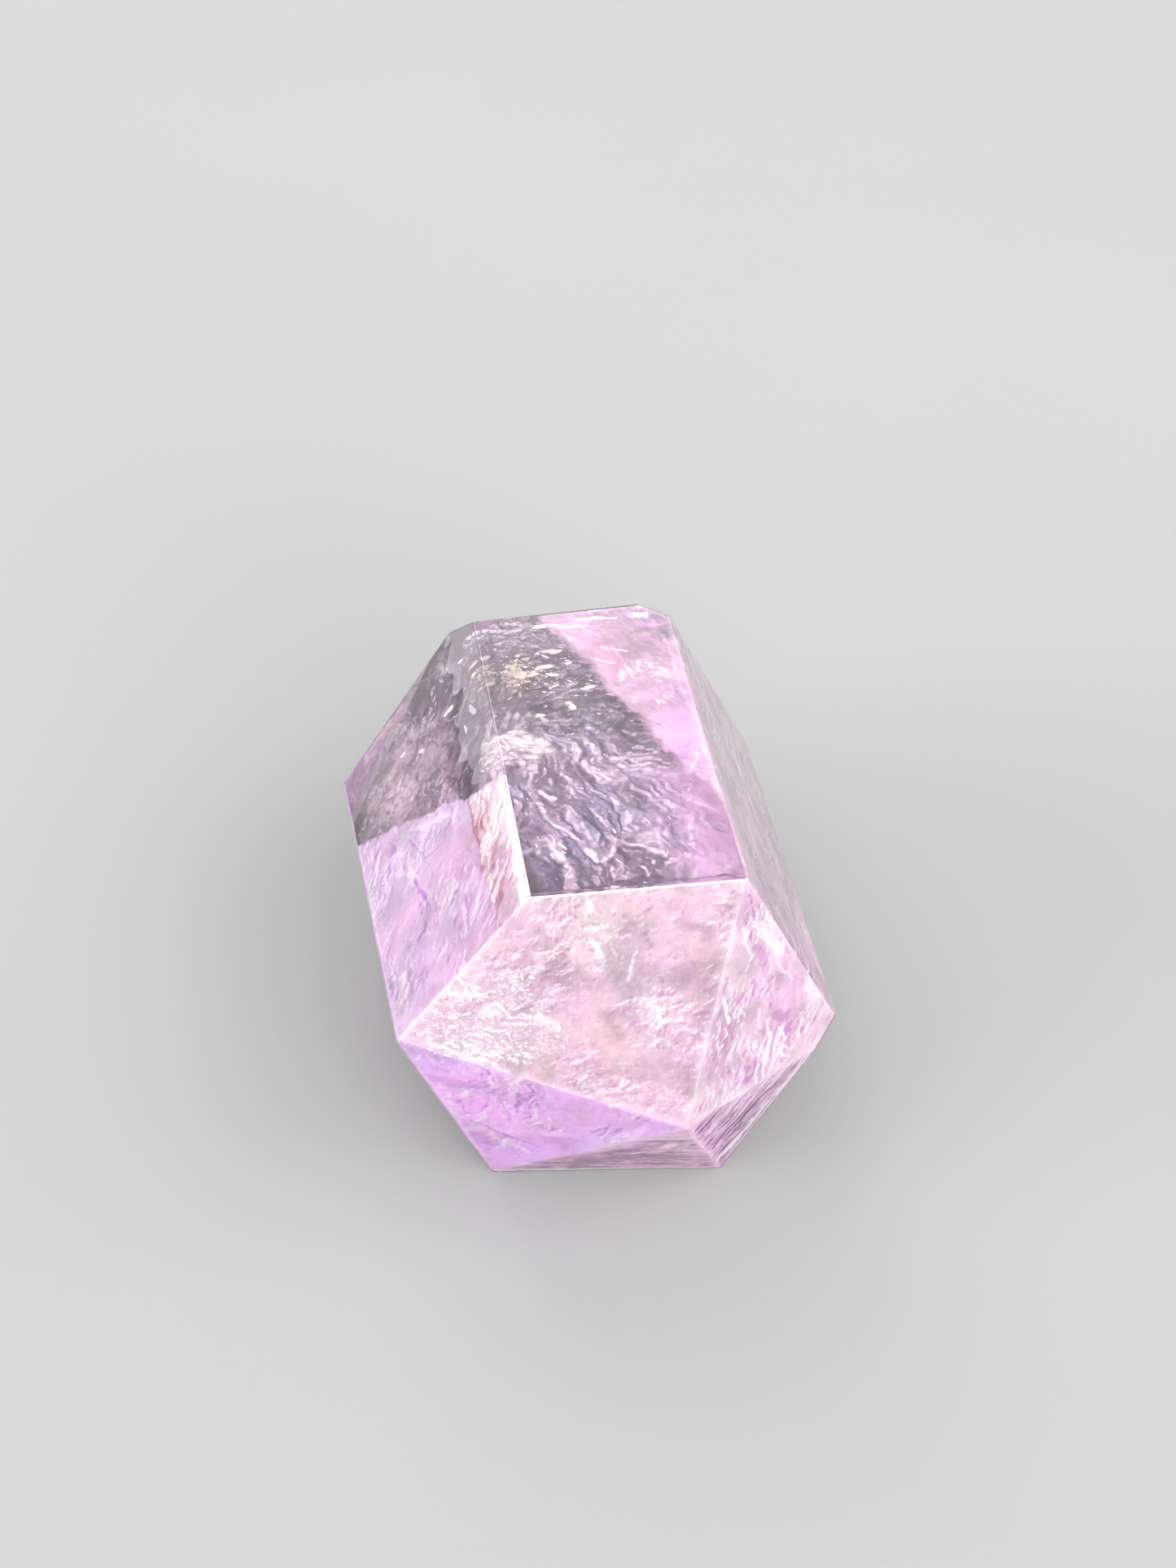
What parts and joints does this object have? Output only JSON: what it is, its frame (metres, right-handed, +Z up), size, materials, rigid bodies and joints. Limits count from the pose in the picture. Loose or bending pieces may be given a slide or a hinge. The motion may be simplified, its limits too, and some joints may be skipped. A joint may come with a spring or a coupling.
{
  "type": "double-terminated amethyst",
  "caption": "Polished amethyst crystal with a six-sided body, a faceted pyramid at one end and a blunt cut end with small facets at the other, lying on one long face.",
  "frame": {"origin": "under the middle of the stone's bounding box, on the surface that it lies on", "axes": "+Y along the crystal's long axis from its blunt end to its pyramid end, +Z up from the long face that it lies on, +X to the right seen from the blunt end"},
  "size_m": [0.0338, 0.0524, 0.0314],
  "materials": {
    "amethyst": "polished pale violet quartz, see-through, with cloudy veils inside"
  },
  "bodies": {
    "root": {"amethyst_crystal": "amethyst"}
  },
  "joints": []
}
